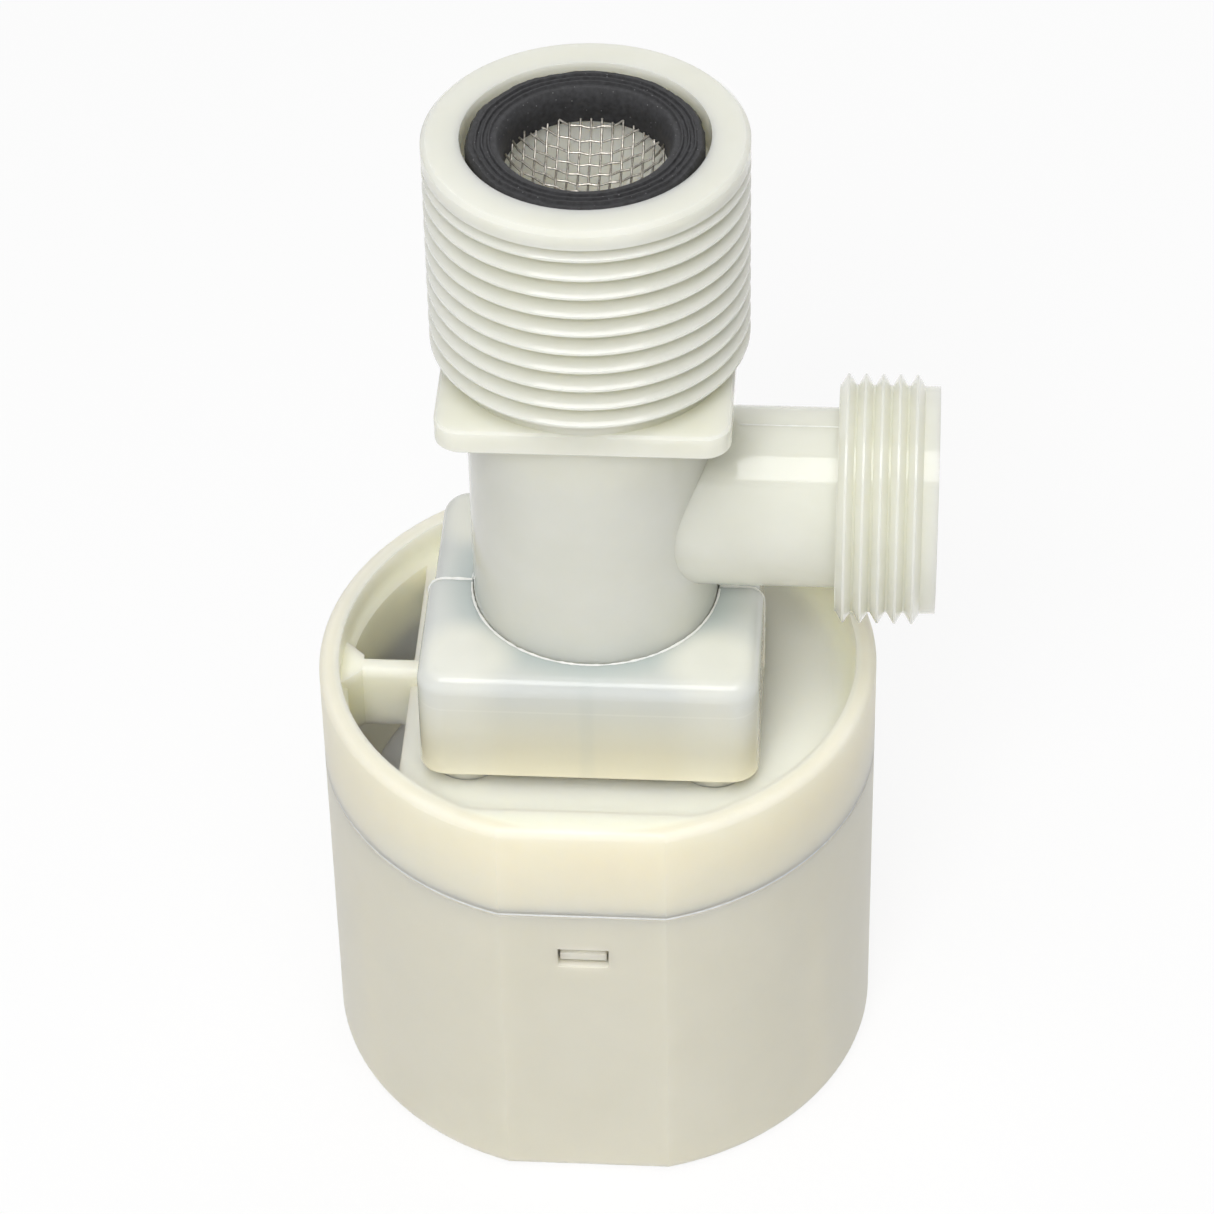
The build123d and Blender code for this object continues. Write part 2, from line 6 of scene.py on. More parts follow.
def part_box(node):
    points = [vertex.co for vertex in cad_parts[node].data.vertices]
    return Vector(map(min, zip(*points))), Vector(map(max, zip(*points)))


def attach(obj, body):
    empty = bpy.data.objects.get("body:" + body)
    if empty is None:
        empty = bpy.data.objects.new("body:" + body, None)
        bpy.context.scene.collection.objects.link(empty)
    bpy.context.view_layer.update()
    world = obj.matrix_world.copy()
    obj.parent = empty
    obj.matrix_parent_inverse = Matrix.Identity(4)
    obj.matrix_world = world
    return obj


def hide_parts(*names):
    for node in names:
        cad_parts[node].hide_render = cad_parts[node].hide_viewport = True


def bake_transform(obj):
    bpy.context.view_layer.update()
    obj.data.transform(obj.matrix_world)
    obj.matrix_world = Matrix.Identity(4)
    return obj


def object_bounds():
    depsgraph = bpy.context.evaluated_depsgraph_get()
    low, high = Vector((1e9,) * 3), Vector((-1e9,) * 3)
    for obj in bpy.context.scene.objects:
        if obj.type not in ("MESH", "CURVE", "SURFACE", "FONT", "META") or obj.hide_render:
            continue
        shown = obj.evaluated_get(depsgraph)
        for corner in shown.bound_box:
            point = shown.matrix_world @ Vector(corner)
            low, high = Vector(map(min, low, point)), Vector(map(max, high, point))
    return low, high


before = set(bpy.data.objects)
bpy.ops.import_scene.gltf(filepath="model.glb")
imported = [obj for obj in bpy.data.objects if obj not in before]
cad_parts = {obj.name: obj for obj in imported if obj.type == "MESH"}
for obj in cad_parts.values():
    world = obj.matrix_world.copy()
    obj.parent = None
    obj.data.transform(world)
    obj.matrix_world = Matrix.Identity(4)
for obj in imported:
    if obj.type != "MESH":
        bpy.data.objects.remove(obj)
cadBox = [list(corner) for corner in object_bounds()]
scene = bpy.context.scene
mm = 0.001
# sizes in the dictionaries are in millimetres and angles in degrees, but the lamps and the floor's reach
# are in metres
weldDistance = 0.002 * mm
tintEnds = (0.3, 0.7)


def linear(hexColour):
    channels = [int(hexColour[i:i + 2], 16) / 255 for i in (1, 3, 5)]
    return tuple(c / 12.92 if c <= 0.04045 else ((c + 0.055) / 1.055) ** 2.4 for c in channels) + (1.0,)


def addNode(tree, kind, inputs=None, **settings):
    node = tree.nodes.new(kind)
    for name, value in settings.items():
        setattr(node, name, value)
    for name, value in (inputs or {}).items():
        if isinstance(value, bpy.types.NodeSocket):
            tree.links.new(value, node.inputs[name])
        else:
            node.inputs[name].default_value = value
    return node


def calculate(tree, operation, *values):
    return addNode(tree, "ShaderNodeMath", dict(enumerate(values)), operation=operation).outputs[0]


def noiseAt(tree, place, size, detail):
    # cloudy noise with blobs of about the given size
    texture = addNode(tree, "ShaderNodeTexNoise", {
        "Vector": place, "Scale": 1 / (size * mm), "Detail": detail})
    return texture.outputs["Fac"]


def mixColours(tree, factor, first, second):
    mix = addNode(tree, "ShaderNodeMix", {"Factor": factor, 6: first, 7: second}, data_type="RGBA")
    return mix.outputs[2]


def tintBetween(tree, factor, low, high):
    ramp = addNode(tree, "ShaderNodeValToRGB", {"Fac": factor})
    for element, position, colour in zip(ramp.color_ramp.elements, tintEnds, (low, high)):
        element.position = position
        element.color = linear(colour)
    return ramp.outputs["Color"]


def startMaterial(name, finish):
    material = bpy.data.materials.new(name)
    material.use_nodes = True
    tree = material.node_tree
    tree.nodes.clear()
    place = addNode(tree, "ShaderNodeTexCoord").outputs["Object"]
    shader = addNode(tree, "ShaderNodeBsdfPrincipled", finish)
    addNode(tree, "ShaderNodeOutputMaterial", {"Surface": shader.outputs[0]})
    return material, tree, place, shader


def openMaterial(material):
    # the tree, place, base colour socket and present colour of a material made above
    tree = material.node_tree
    place = next(node for node in tree.nodes if node.type == "TEX_COORD").outputs["Object"]
    shader = next(node for node in tree.nodes if node.type == "BSDF_PRINCIPLED")
    socket = shader.inputs["Base Color"]
    return tree, place, socket, socket.links[0].from_socket


def clearSelection():
    if bpy.context.object and bpy.context.object.mode != "OBJECT":
        bpy.ops.object.mode_set(mode="OBJECT")
    bpy.ops.object.select_all(action="DESELECT")


def pickOnly(obj):
    clearSelection()
    obj.select_set(True)
    bpy.context.view_layer.objects.active = obj


def addObject(name, data):
    obj = bpy.data.objects.new(name, data)
    scene.collection.objects.link(obj)
    return obj


def smoothed(obj, degrees):
    pickOnly(obj)
    bpy.ops.object.shade_smooth_by_angle(angle=math.radians(degrees))
    return obj


def spinProfile(name, outline, steps):
    # outline is a closed loop of radius and height
    points = [(radius * mm, 0, height * mm) for radius, height in outline]
    loop = [(i, (i + 1) % len(points)) for i in range(len(points))]
    mesh = bpy.data.meshes.new(name)
    mesh.from_pydata(points, loop, ())
    obj = addObject(name, mesh)
    pickOnly(obj)
    bpy.ops.object.mode_set(mode="EDIT")
    bpy.ops.mesh.select_all(action="SELECT")
    bpy.ops.mesh.spin(steps=steps, angle=2 * math.pi, center=(0, 0, 0), axis=(0, 0, 1))
    bpy.ops.mesh.select_all(action="SELECT")
    bpy.ops.mesh.remove_doubles(threshold=weldDistance)
    bpy.ops.mesh.normals_make_consistent(inside=False)
    bpy.ops.object.mode_set(mode="OBJECT")
    return obj


def startWires(name, radius):
    curve = bpy.data.curves.new(name, "CURVE")
    curve.dimensions = "3D"
    curve.bevel_depth = radius * mm
    curve.bevel_resolution = 1
    curve.resolution_u = 1
    curve.use_fill_caps = True
    return curve


def meshOfWires(name, curve, degrees):
    wires = addObject(name + "_path", curve)
    mesh = bpy.data.meshes.new_from_object(wires)
    bpy.data.objects.remove(wires)
    return smoothed(addObject(name, mesh), degrees)


plasticGrain = {
    "index": 1.49, "scatter": (1.0, 0.95, 0.85), "cloudDetail": 3.0, "detail": 2.0,
    "grainSize": 0.35, "grainStrength": 0.2, "grainHeight": 0.02,
    "flowSize": 1.6, "flowStrength": 0.25, "shinier": 0.03, "duller": 0.05,
}


# Injection moulded polypropylene: milky, softly glossy, with faint flow lines and sink ripples
def mouldedPolypropylene(name, look, grain=plasticGrain):
    material, tree, place, shader = startMaterial(name, {
        "IOR": grain["index"],
        "Subsurface Weight": look["milkiness"],
        "Subsurface Radius": grain["scatter"],
        "Subsurface Scale": look["depth"] * mm,
    })
    clouds = noiseAt(tree, place, look["cloud"], grain["cloudDetail"])
    tree.links.new(tintBetween(tree, clouds, look["shade"], look["colour"]), shader.inputs["Base Color"])
    stretch = addNode(tree, "ShaderNodeMapping", {"Vector": place, "Scale": look["flow"]})
    rough = addNode(tree, "ShaderNodeMapRange", {
        "Value": clouds,
        "To Min": look["roughness"] - grain["shinier"],
        "To Max": look["roughness"] + grain["duller"],
    })
    tree.links.new(rough.outputs[0], shader.inputs["Roughness"])
    ripple = addNode(tree, "ShaderNodeBump", {
        "Height": noiseAt(tree, stretch.outputs[0], grain["flowSize"], grain["detail"]),
        "Strength": grain["flowStrength"],
        "Distance": look["ripple"] * mm,
    })
    fine = addNode(tree, "ShaderNodeBump", {
        "Height": noiseAt(tree, place, grain["grainSize"], grain["detail"]),
        "Strength": grain["grainStrength"],
        "Distance": grain["grainHeight"] * mm,
        "Normal": ripple.outputs[0],
    })
    tree.links.new(fine.outputs[0], shader.inputs["Normal"])
    return material


rubberGrain = {
    "index": 1.52, "shine": 0.35, "poreSize": 0.5, "poreDetail": 4.0, "poreStrength": 0.5, "poreDepth": 0.06,
    "speckGap": 0.7, "speckCore": 0.05, "speckEdge": 0.12, "dust": "#6f6f70",
    "smoothest": 0.48, "roughest": 0.72,
}


# Moulded rubber: dull, with open pores and pale dust caught in them
def mouldedRubber(name, look, grain=rubberGrain):
    material, tree, place, shader = startMaterial(name, {
        "IOR": grain["index"], "Specular IOR Level": grain["shine"]})
    pores = noiseAt(tree, place, grain["poreSize"], grain["poreDetail"])
    specks = addNode(tree, "ShaderNodeTexVoronoi", {"Vector": place, "Scale": 1 / (grain["speckGap"] * mm)})
    dust = addNode(tree, "ShaderNodeMapRange", {
        "Value": specks.outputs["Distance"], "From Min": grain["speckCore"], "From Max": grain["speckEdge"],
        "To Min": 1.0, "To Max": 0.0})
    base = tintBetween(tree, pores, look["colour"], look["bloom"])
    flecked = mixColours(tree, dust.outputs[0], base, linear(grain["dust"]))
    tree.links.new(flecked, shader.inputs["Base Color"])
    rough = addNode(tree, "ShaderNodeMapRange", {
        "Value": pores, "To Min": grain["smoothest"], "To Max": grain["roughest"]})
    tree.links.new(rough.outputs[0], shader.inputs["Roughness"])
    bump = addNode(tree, "ShaderNodeBump", {
        "Height": pores, "Strength": grain["poreStrength"], "Distance": grain["poreDepth"] * mm})
    tree.links.new(bump.outputs[0], shader.inputs["Normal"])
    return material


steelGrain = {"markSize": 0.25, "markDetail": 2.0, "markColour": "#8d8981", "shinier": 0.06, "duller": 0.1}


# Drawn or machined stainless steel: bright, with fine darker tool marks
def brightStainless(name, look, grain=steelGrain):
    material, tree, place, shader = startMaterial(name, {"Metallic": 1.0})
    marks = noiseAt(tree, place, grain["markSize"], grain["markDetail"])
    tree.links.new(tintBetween(tree, marks, grain["markColour"], look["colour"]), shader.inputs["Base Color"])
    rough = addNode(tree, "ShaderNodeMapRange", {
        "Value": marks,
        "To Min": look["roughness"] - grain["shinier"],
        "To Max": look["roughness"] + grain["duller"],
    })
    tree.links.new(rough.outputs[0], shader.inputs["Roughness"])
    return material


# The shroud's thin wall shows the posts and the neck through it, and this is painted into its colour: painted
# shade round the neck and over the hollow inside, a painted pale line at the inner ledge, and a painted shade
# band at the middle gap
def paintShadeThroughWall(material, look):
    tree, place, socket, own = openMaterial(material)
    axes = addNode(tree, "ShaderNodeSeparateXYZ", {"Vector": place})
    x, y, z = axes.outputs
    middle = calculate(tree, "ABSOLUTE", x)
    sideways = calculate(tree, "SUBTRACT", middle, look["postX"] * mm)
    inwards = calculate(tree, "ABSOLUTE", calculate(tree, "SUBTRACT", y, look["postShift"] * mm))
    inwards = calculate(tree, "SUBTRACT", inwards, look["postY"] * mm)
    spot = addNode(tree, "ShaderNodeCombineXYZ", {0: sideways, 1: inwards})
    reach = addNode(tree, "ShaderNodeVectorMath", {0: spot.outputs[0]}, operation="LENGTH")
    # near the posts the shroud keeps its own colour; away from them the painted shade takes over
    post = addNode(tree, "ShaderNodeMapRange", {
        "Value": reach.outputs["Value"],
        "From Min": look["postNear"] * mm,
        "From Max": look["postFar"] * mm,
    }, interpolation_type="SMOOTHSTEP")
    flat = addNode(tree, "ShaderNodeCombineXYZ", {0: x, 1: y})
    outwards = addNode(tree, "ShaderNodeVectorMath", {0: flat.outputs[0]}, operation="LENGTH")
    neck = addNode(tree, "ShaderNodeMapRange", {
        "Value": outwards.outputs["Value"],
        "From Min": look["neckNear"] * mm,
        "From Max": look["neckFar"] * mm,
        "To Min": 1.0,
        "To Max": 0.0,
    }, interpolation_type="SMOOTHSTEP")
    rise = addNode(tree, "ShaderNodeMapRange", {
        "Value": z, "From Min": look["low"] * mm, "From Max": look["high"] * mm})
    # painted shade of the hollow inside the shroud, greyer towards the top
    hollowShade = mixColours(tree, rise.outputs[0], linear(look["lowHollowShade"]), linear(look["highHollowShade"]))
    shaded = mixColours(tree, neck.outputs[0], hollowShade, linear(look["neckShadeColour"]))
    colour = mixColours(tree, post.outputs[0], own, shaded)
    # painted light: a pale line where the inner ledge shows through
    ledge = calculate(tree, "COMPARE", z, look["ledgeZ"] * mm, look["ledgeHalf"] * mm)
    ledge = calculate(tree, "MULTIPLY", ledge, look["ledgeShow"])
    colour = mixColours(tree, ledge, colour, linear(look["ledgeLightColour"]))
    # painted shade: a grey band down the gap in the middle
    slit = addNode(tree, "ShaderNodeMapRange", {
        "Value": middle, "From Min": look["slitNear"] * mm, "From Max": look["slitFar"] * mm,
        "To Min": look["slitShade"], "To Max": 0.0}, interpolation_type="SMOOTHSTEP")
    tree.links.new(mixColours(tree, slit.outputs[0], colour, linear(look["neckShadeColour"])), socket)


# Light gathers inside a milky tube, so its bore looks paler than its outside
def palerBore(material, look):
    tree, place, socket, own = openMaterial(material)
    flat = addNode(tree, "ShaderNodeVectorMath", {0: place, 1: (1.0, 1.0, 0.0)}, operation="MULTIPLY")
    outwards = addNode(tree, "ShaderNodeVectorMath", {0: flat.outputs[0]}, operation="LENGTH")
    within = addNode(tree, "ShaderNodeMapRange", {
        "Value": outwards.outputs["Value"],
        "From Min": (look["radius"] - look["soft"]) * mm,
        "From Max": (look["radius"] + look["soft"]) * mm,
        "To Min": 1.0,
        "To Max": 0.0,
    })
    tree.links.new(mixColours(tree, within.outputs[0], own, linear(look["colour"])), socket)


def dress(material, *nodeNames):
    for nodeName in nodeNames:
        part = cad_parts[nodeName]
        part.data.materials.clear()
        part.data.materials.append(material)


bodyLook = {
    "colour": "#e1e1d5", "shade": "#dcdccf", "milkiness": 0.9, "depth": 5.0, "cloud": 9.0,
    "roughness": 0.07, "flow": (1.0, 1.0, 0.15), "ripple": 0.02,
}
ringLook = {
    "colour": "#f6edd7", "shade": "#f1e8d0", "milkiness": 1.0, "depth": 5.0, "cloud": 12.0,
    "roughness": 0.34, "flow": (1.0, 1.0, 0.2), "ripple": 0.05,
}
cupLook = {
    "colour": "#f0e7d0", "shade": "#eae2cb", "milkiness": 0.9, "depth": 5.0, "cloud": 14.0,
    "roughness": 0.36, "flow": (1.0, 1.0, 0.2), "ripple": 0.05,
}
coverLook = {
    "colour": "#efefe2", "shade": "#ebebde", "milkiness": 0.5, "depth": 2.5, "cloud": 8.0,
    "roughness": 0.06, "flow": (0.2, 1.0, 1.0), "ripple": 0.01,
}
innerLook = {
    "colour": "#fefcf2", "shade": "#faf8ec", "milkiness": 0.8, "depth": 6.0, "cloud": 6.0,
    "roughness": 0.38, "flow": (1.0, 1.0, 0.3), "ripple": 0.04,
}
# plastic that was squeezed out and scuffed at a parting line scatters at its surface and looks whiter; the
# same whiter colour is a painted highlight on the bead round the neck and a painted light line on the bead
# that fills the groove between ring and cup
flashAndHighlightLook = {
    "colour": "#fdfdf9", "shade": "#f2f2ec", "milkiness": 0.3, "depth": 0.6, "cloud": 0.8,
    "roughness": 0.3, "flow": (1.0, 1.0, 1.0), "ripple": 0.03,
}
blackLook = {"colour": "#262627", "bloom": "#3a3a3c"}
paleLook = {"colour": "#c9c8c2", "bloom": "#d9d8d2"}
wireLook = {"colour": "#cdc8be", "roughness": 0.3}
screwLook = {"colour": "#c4c3c0", "roughness": 0.25}
# colours and reach of the painted shade and light on the shroud
coverPaintedShadeLook = {
    "postX": 13.3, "postY": 11.8, "postShift": -0.5, "postNear": 2.5, "postFar": 7.0,
    "neckNear": 13.4, "neckFar": 17.5, "neckShadeColour": "#bfc8c5",
    "low": 52.0, "high": 59.0, "lowHollowShade": "#e6e3d0", "highHollowShade": "#d5d8d3",
    "ledgeZ": 57.7, "ledgeHalf": 0.12, "ledgeShow": 0.12, "ledgeLightColour": "#fbfbf4",
    "slitNear": 0.3, "slitFar": 1.2, "slitShade": 0.14,
}
bodyBoreLook = {"radius": 12.4, "soft": 0.3, "colour": "#fdfbf0"}
ringBoreLook = {"radius": 28.75, "soft": 0.3, "colour": "#fff8e0"}
cupBoreLook = {"radius": 29.03, "soft": 0.1, "colour": "#fff8e2"}

bodyPlastic = mouldedPolypropylene("moulded natural polypropylene", bodyLook)
ringPlastic = mouldedPolypropylene("moulded polypropylene ring", ringLook)
cupPlastic = mouldedPolypropylene("moulded polypropylene cup", cupLook)
coverPlastic = mouldedPolypropylene("moulded translucent polypropylene", coverLook)
innerPlastic = mouldedPolypropylene("moulded acetal", innerLook)
flashAndHighlightPlastic = mouldedPolypropylene("scuffed polypropylene and painted highlight", flashAndHighlightLook)
blackRubber = mouldedRubber("moulded nitrile rubber", blackLook)
paleRubber = mouldedRubber("moulded silicone rubber", paleLook)
wireSteel = brightStainless("drawn stainless steel wire", wireLook)
screwSteel = brightStainless("machined stainless steel", screwLook)
paintShadeThroughWall(coverPlastic, coverPaintedShadeLook)
palerBore(bodyPlastic, bodyBoreLook)
palerBore(ringPlastic, ringBoreLook)
palerBore(cupPlastic, cupBoreLook)

dress(bodyPlastic, "valve_body")
dress(ringPlastic, "bucket_ring")
dress(cupPlastic, "bucket_cup")
dress(coverPlastic, "cover_front", "cover_back")
dress(innerPlastic, "main_disc", "disc_retainer", "pilot_cap", "pilot_nozzle", "pilot_lever")
dress(innerPlastic, "float_shell", "float_lid", "float_stem", "drain_float", "drain_clip")
dress(blackRubber, "inlet_gasket", "diaphragm")
dress(paleRubber, "pilot_plug", "drain_washer")
dress(wireSteel, "inlet_strainer", "closing_spring", "bleed_pin")
dress(screwSteel, "deck_screws", "link_pin", "lever_pin")
print("stage: materials")


def innerRadius(nodeName, low, high):
    # smallest radius of a node's wall between two heights
    corners = [vertex.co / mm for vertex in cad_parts[nodeName].data.vertices]
    return min(math.hypot(corner.x, corner.y) for corner in corners if low < corner.z < high)


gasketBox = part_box("inlet_gasket")
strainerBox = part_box("inlet_strainer")
holeSearch = {"below": 1.0, "above": 0.5, "rimDrop": 0.4}
holeR = innerRadius(
    "inlet_gasket", gasketBox[0][2] / mm - holeSearch["below"], gasketBox[0][2] / mm + holeSearch["above"])
meshZ = strainerBox[1][2] / mm - holeSearch["rimDrop"]

gasketLook = {
    "steps": 160, "ridges": (9.75, 10.45, 11.15), "ridgeWidth": 0.2, "ridgeHeight": 0.2, "crestShare": 0.35,
    "groove": 0.05, "bevel": 0.35, "foot": 0.3, "lipSlope": 0.05, "lipHeight": 0.9, "funnel": 0.55,
    "funnelDrop": 0.12, "funnelEdge": 0.2, "fit": 0.1, "proud": 0.28, "smooth": 50,
    "rag": 0.16, "ragScale": 9, "corners": 11, "cornerTurn": 1.3, "sway": 0.07, "swayFrom": 1.0,
    "seed": 4, "noiseR": 3, "lift": 0.05, "liftScale": 4, "sink": 0.03,
}


def makeGasket(look, hole, rim):
    low, high = [Vector(corner) / mm for corner in gasketBox]
    outer = high.x + look["fit"]
    top = high.z + look["proud"] - look["ridgeHeight"]
    mouth = hole + look["funnel"]
    valley = top - look["groove"]
    crest = top + look["ridgeHeight"]
    outline = [
        (hole, low.z),
        (hole, rim),
        (hole + look["lipSlope"], rim + look["lipHeight"]),
        (mouth, top - look["funnelDrop"]),
        (mouth + look["funnelEdge"], top),
    ]
    for ridge in look["ridges"]:
        narrow = look["ridgeWidth"] * look["crestShare"]
        outline.append((ridge - look["ridgeWidth"], valley))
        outline.append((ridge - narrow, crest))
        outline.append((ridge + narrow, crest))
        outline.append((ridge + look["ridgeWidth"], valley))
    outline += [
        (outer - look["bevel"], top),
        (outer, top - look["bevel"]),
        (outer, low.z + look["foot"]),
        (outer - look["foot"], low.z),
    ]
    gasket = spinProfile("washer", outline, look["steps"])
    # the moulding has a slightly uneven, cut edge
    for vertex in gasket.data.vertices:
        radius = math.hypot(vertex.co.x, vertex.co.y) / mm
        angle = math.atan2(vertex.co.y, vertex.co.x)
        share = max(0.0, (radius - hole - look["swayFrom"]) / (outer - hole - look["swayFrom"]))
        place = Vector((look["noiseR"] * math.cos(angle), look["noiseR"] * math.sin(angle), look["seed"]))
        wobble = look["sway"] * math.cos(look["corners"] * angle + look["cornerTurn"])
        wobble += look["rag"] * noise.noise(place * look["ragScale"])
        shrink = 1 - share * (look["sway"] + look["rag"] / 2 - wobble) / radius
        vertex.co.x *= shrink
        vertex.co.y *= shrink
        lift = look["lift"] * mm * share * noise.noise(place * look["liftScale"])
        vertex.co.z += lift - look["sink"] * mm * share
    return smoothed(gasket, look["smooth"])


strainerLook = {
    "pitch": 1.1, "wireR": 0.12, "sag": 4.2, "bulge": 0.9, "reach": 8.45, "flat": 8.3, "drop": 1.1,
    "touch": 0.95, "fewest": 3, "fray": 0.3, "frayLeast": 0.4, "frayNoise": 3, "frayScale": 3.1, "seed": 7.0,
    "smooth": 60,
}


def makeStrainer(look, rim):
    count = int(look["reach"] // look["pitch"])
    half = look["pitch"] / 2
    curve = startWires("wires", look["wireR"])
    for way in (0, 1):
        for row in range(-count, count + 1):
            across = row * look["pitch"]
            turns = int(math.sqrt(max(0.0, look["reach"] ** 2 - across ** 2)) // half)
            if turns < look["fewest"]:
                continue
            spline = curve.splines.new("POLY")
            spline.points.add(2 * turns)
            for index, step in enumerate(range(-turns, turns + 1)):
                along = step * half
                x, y = (along, across) if way == 0 else (across, along)
                share = min(1.0, math.hypot(x, y) / look["flat"])
                height = rim - look["drop"] - look["sag"] * (1 - share ** 2) ** look["bulge"]
                over = (-1) ** (row + way)
                height += over * math.cos(math.pi * along / look["pitch"]) * look["wireR"] * look["touch"]
                if abs(step) == turns:
                    # cut ends of the wire stand up at the rim
                    chance = noise.noise(Vector((across * look["frayScale"], step, look["seed"])))
                    height += look["fray"] * max(0, look["frayLeast"] + look["frayNoise"] * chance)
                spline.points[index].co = (x * mm, y * mm, height * mm, 1)
    return meshOfWires("woven_bowl", curve, look["smooth"])


washer = makeGasket(gasketLook, holeR, meshZ)
washer.data.materials.append(blackRubber)
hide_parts("inlet_gasket")
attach(washer, "housing")
wovenBowl = makeStrainer(strainerLook, meshZ)
wovenBowl.data.materials.append(wireSteel)
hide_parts("inlet_strainer")
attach(wovenBowl, "housing")
print("stage: washer and strainer")

springLook = {"weld": 0.001, "smooth": 40}


def makeSpring(look):
    # the CAD spring's own coils between the cap and the disc, welded into one mesh and smoothed
    spring = addObject("coil_spring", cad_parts["closing_spring"].data.copy())
    pickOnly(spring)
    bpy.ops.object.mode_set(mode="EDIT")
    bpy.ops.mesh.select_all(action="SELECT")
    bpy.ops.mesh.remove_doubles(threshold=look["weld"] * mm)
    bpy.ops.object.mode_set(mode="OBJECT")
    return smoothed(spring, look["smooth"])


coilSpring = makeSpring(springLook)
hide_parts("closing_spring")
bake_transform(coilSpring)
print("stage: spring")

beadLook = {"thick": 0.13, "step": 0.35, "seed": 3.0, "noiseScale": 1.7, "smooth": 60}


def evenly(points, step):
    # the same path with a point every step of its length
    path = [Vector(point) for point in points]
    spaced = []
    for start, end in zip(path, path[1:]):
        count = max(1, round((end - start).length / step))
        spaced += [start.lerp(end, i / count) for i in range(count)]
    return spaced + [path[-1]]


def addFlash(name, paths, look, bead=beadLook):
    # a thin uneven bead of plastic where two mould halves or two mouldings meet
    curve = startWires(name, bead["thick"])
    for path in paths:
        points = evenly(path, bead["step"])
        spline = curve.splines.new("POLY")
        spline.points.add(len(points) - 1)
        for index, point in enumerate(points):
            unevenness = noise.noise(point * bead["noiseScale"] + Vector((0, 0, bead["seed"])))
            spline.points[index].co = (*(point * mm), 1)
            spline.points[index].radius = look["size"] * (1 + look["ragged"] * unevenness)
    flash = meshOfWires(name, curve, bead["smooth"])
    flash.data.materials.append(flashAndHighlightPlastic)
    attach(flash, "housing")
    return flash


def ringPath(radius, height, start, end, steps, flat=math.inf):
    # an arc about the axis, cut straight where it passes the flats on the two sides
    path = []
    for i in range(steps + 1):
        angle = math.radians(start + (end - start) * i / steps)
        y = max(-flat, min(flat, radius * math.sin(angle)))
        path.append((radius * math.cos(angle), y, height))
    return path


shroudFlashLook = {
    "size": 1.4, "ragged": 0.55, "wide": 18.15, "top": 61.48, "low": 50.0, "neckR": 13.4,
    "edge": 1.8, "edgeSteps": 6,
}


def coverSeam(side, look):
    # up the side of the shroud, round its edge and in to the neck
    cornerX = look["wide"] - look["edge"]
    cornerZ = look["top"] - look["edge"]
    path = [(side * look["wide"], 0, look["low"]), (side * look["wide"], 0, cornerZ)]
    for i in range(1, look["edgeSteps"] + 1):
        angle = math.pi / 2 * i / look["edgeSteps"]
        x = cornerX + look["edge"] * math.cos(angle)
        path.append((side * x, 0, cornerZ + look["edge"] * math.sin(angle)))
    path.append((side * look["neckR"], 0, look["top"]))
    return path


shroudLipLook = {
    "size": 1.2, "ragged": 0.55, "radius": 13.4, "top": 61.48, "frontDrop": 0.02, "backDrop": 0.2,
    "front": (182, 358), "back": (2, 178), "steps": 120,
}
cupFlashLook = {"size": 1.7, "ragged": 0.15, "radius": 30.24, "flat": 28.89, "height": 39.5, "steps": 360}
pipeFlashLook = {"size": 0.6, "ragged": 0.55, "radius": 9.57, "height": 74.4, "start": 15.5, "end": 26.2}

coverSeams = addFlash("shroud_flash", [
    coverSeam(side, shroudFlashLook) for side in (-1, 1)
], shroudFlashLook)
lipHeights = {side: shroudLipLook["top"] - shroudLipLook[side + "Drop"] for side in ("front", "back")}
# the bead round the neck is whiter than the shroud: a painted highlight where the hole's lip catches light
neckLip = addFlash("shroud_lip", [
    ringPath(shroudLipLook["radius"], height, *shroudLipLook[side], shroudLipLook["steps"])
    for side, height in lipHeights.items()
], shroudLipLook)
# the whiter bead fills the shaded groove where the ring meets the cup: a painted light line in place of the
# groove's shade
cupRing = ringPath(
    cupFlashLook["radius"], cupFlashLook["height"], 0, 360, cupFlashLook["steps"], cupFlashLook["flat"])
cupFlash = addFlash("cup_flash", [cupRing], cupFlashLook)
pipeHeights = [pipeFlashLook["height"] + side * pipeFlashLook["radius"] for side in (1, -1)]
pipeLines = addFlash("pipe_flash", [
    [(pipeFlashLook["start"], 0, height), (pipeFlashLook["end"], 0, height)] for height in pipeHeights
], pipeFlashLook)
print("stage: flash lines")

# the camera looks down at the front of the valve from a long way off
cameraPlace = {
    "azimuth": 4.438, "elevation": 41.01, "roll": -1.251, "distance": 524.45,
    "aim": (1.14, 0.0, 58.06), "lens": 143.3, "sensor": 36.0, "nearest": 10.0,
}


def addCamera(setup):
    turn = math.radians(setup["azimuth"])
    rise = math.radians(setup["elevation"])
    roll = math.radians(setup["roll"])
    back = Vector((math.sin(turn) * math.cos(rise), -math.cos(turn) * math.cos(rise), math.sin(rise)))
    right = Vector((math.cos(turn), math.sin(turn), 0.0))
    up = back.cross(right)
    rolledRight = right * math.cos(roll) + up * math.sin(roll)
    rolledUp = up * math.cos(roll) - right * math.sin(roll)
    lens = bpy.data.cameras.new("camera")
    lens.lens = setup["lens"]
    lens.sensor_width = setup["sensor"]
    lens.clip_start = setup["nearest"] * mm
    camera = addObject("camera", lens)
    pose = Matrix((rolledRight, rolledUp, back)).transposed().to_4x4()
    pose.translation = Vector(setup["aim"]) * mm + back * setup["distance"] * mm
    camera.matrix_world = pose
    scene.camera = camera


addCamera(cameraPlace)

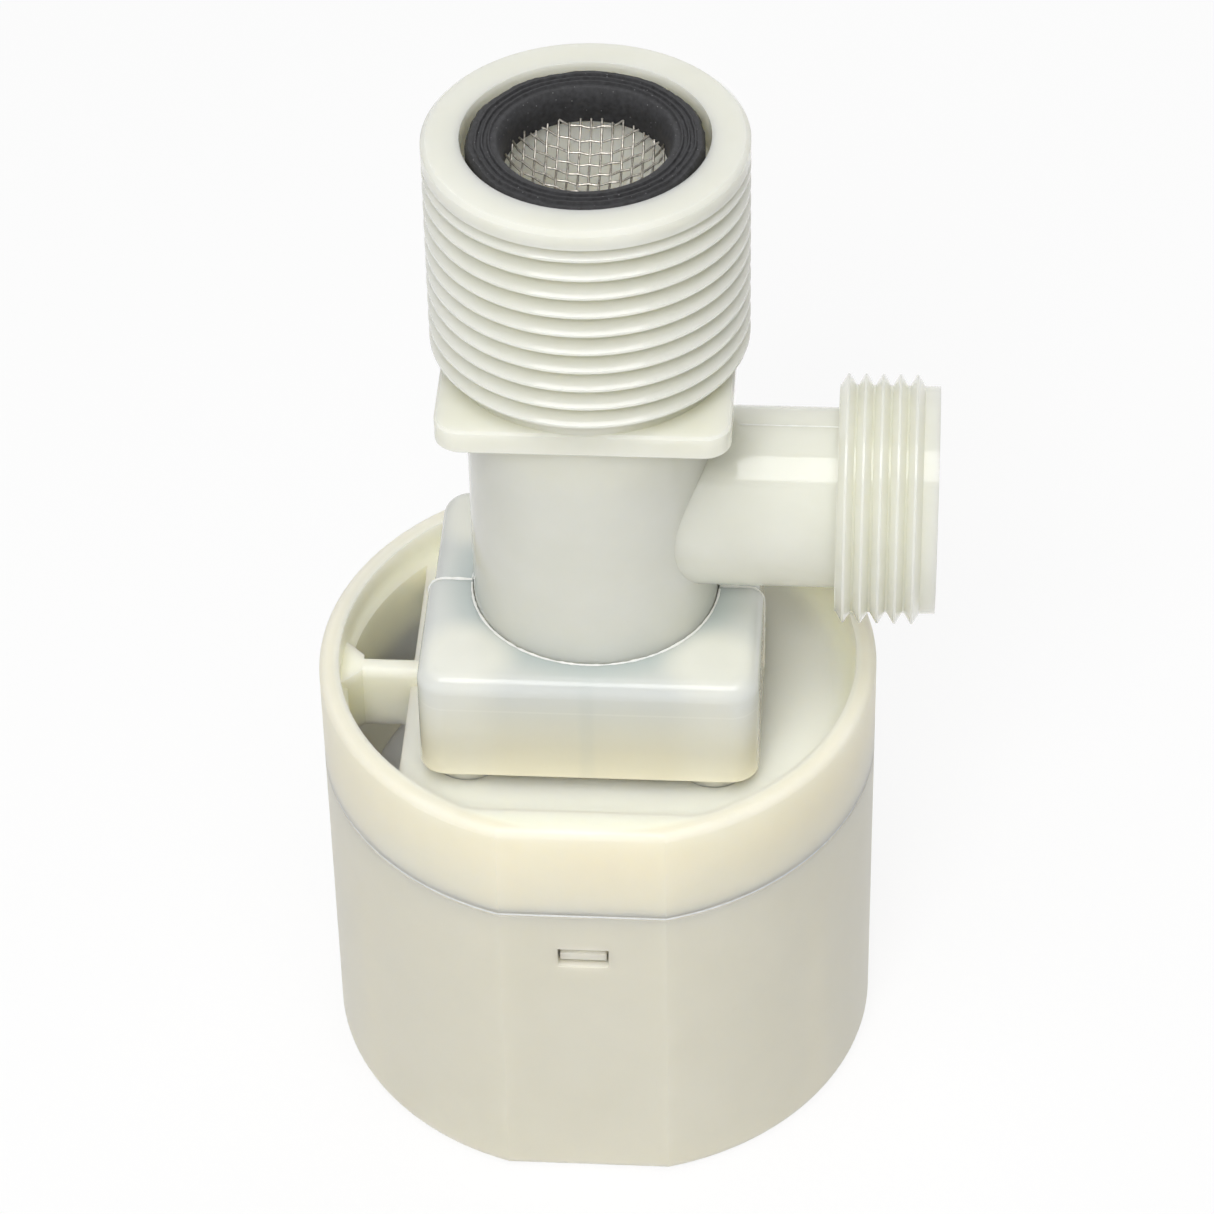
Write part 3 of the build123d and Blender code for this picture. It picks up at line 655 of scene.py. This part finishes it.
studio = {
    "floorReach": 1.6, "floorDrop": 0.02, "floorWhite": 0.85, "paper": "#f4f4f4", "worldGlow": 0.2,
    "lampAim": (0, 0, 0.06),
    # a lamp that gloss doesn't mirror lights the milky plastic without a highlight
    "lamps": (
        # name, place in metres, width and depth of the panel, watts, whether gloss mirrors it
        ("overheadSoftbox", (0.0, -0.2, 0.78), (0.5, 0.42), 2.6, True),
        ("frontPanel", (-0.08, -0.6, 0.66), (0.3, 0.24), 3.6, False),
        ("backFill", (0.12, 0.85, 0.45), (0.8, 0.5), 2.8, False),
    ),
}


def straightOrMirrored(tree):
    # the white surround shows to the camera, and in metal and gloss
    seen = addNode(tree, "ShaderNodeLightPath").outputs
    mirrored = calculate(tree, "MAXIMUM", seen["Is Glossy Ray"], seen["Is Transmission Ray"])
    return calculate(tree, "MAXIMUM", mirrored, seen["Is Camera Ray"])


def addFloor(setup):
    clearSelection()
    height = cadBox[0][2] - setup["floorDrop"] * mm
    bpy.ops.mesh.primitive_plane_add(size=2 * setup["floorReach"], location=(0, 0, height))
    floor = bpy.context.object
    floor.name = "floor"
    bpy.ops.object.transform_apply(location=True)
    material = bpy.data.materials.new("white studio paper")
    material.use_nodes = True
    tree = material.node_tree
    tree.nodes.clear()
    paper = addNode(tree, "ShaderNodeBsdfDiffuse", {"Color": linear(setup["paper"])})
    glow = addNode(tree, "ShaderNodeEmission", {"Color": (1, 1, 1, 1), "Strength": 1.0})
    share = calculate(tree, "MULTIPLY", straightOrMirrored(tree), setup["floorWhite"])
    mix = addNode(tree, "ShaderNodeMixShader", {"Fac": share, 1: paper.outputs[0], 2: glow.outputs[0]})
    addNode(tree, "ShaderNodeOutputMaterial", {"Surface": mix.outputs[0]})
    floor.data.materials.append(material)


def addWorld(setup):
    world = bpy.data.worlds.new("studio")
    scene.world = world
    world.use_nodes = True
    tree = world.node_tree
    tree.nodes.clear()
    glow = addNode(tree, "ShaderNodeBackground", {"Color": (1, 1, 1, 1), "Strength": setup["worldGlow"]})
    white = addNode(tree, "ShaderNodeBackground", {"Color": (1, 1, 1, 1), "Strength": 1.0})
    mix = addNode(tree, "ShaderNodeMixShader", {
        "Fac": straightOrMirrored(tree), 1: glow.outputs[0], 2: white.outputs[0]})
    addNode(tree, "ShaderNodeOutputWorld", {"Surface": mix.outputs[0]})


def addLamps(setup):
    for name, place, size, watts, mirrored in setup["lamps"]:
        lamp = bpy.data.lights.new(name, "AREA")
        lamp.shape = "RECTANGLE"
        lamp.size, lamp.size_y = size
        lamp.energy = watts
        holder = addObject(name, lamp)
        holder.location = place
        holder.visible_glossy = mirrored
        aim = Vector(setup["lampAim"]) - Vector(place)
        holder.rotation_euler = aim.to_track_quat("-Z", "Y").to_euler()


addFloor(studio)
addWorld(studio)
addLamps(studio)
scene.view_settings.view_transform = "Standard"
print("stage: camera and studio")
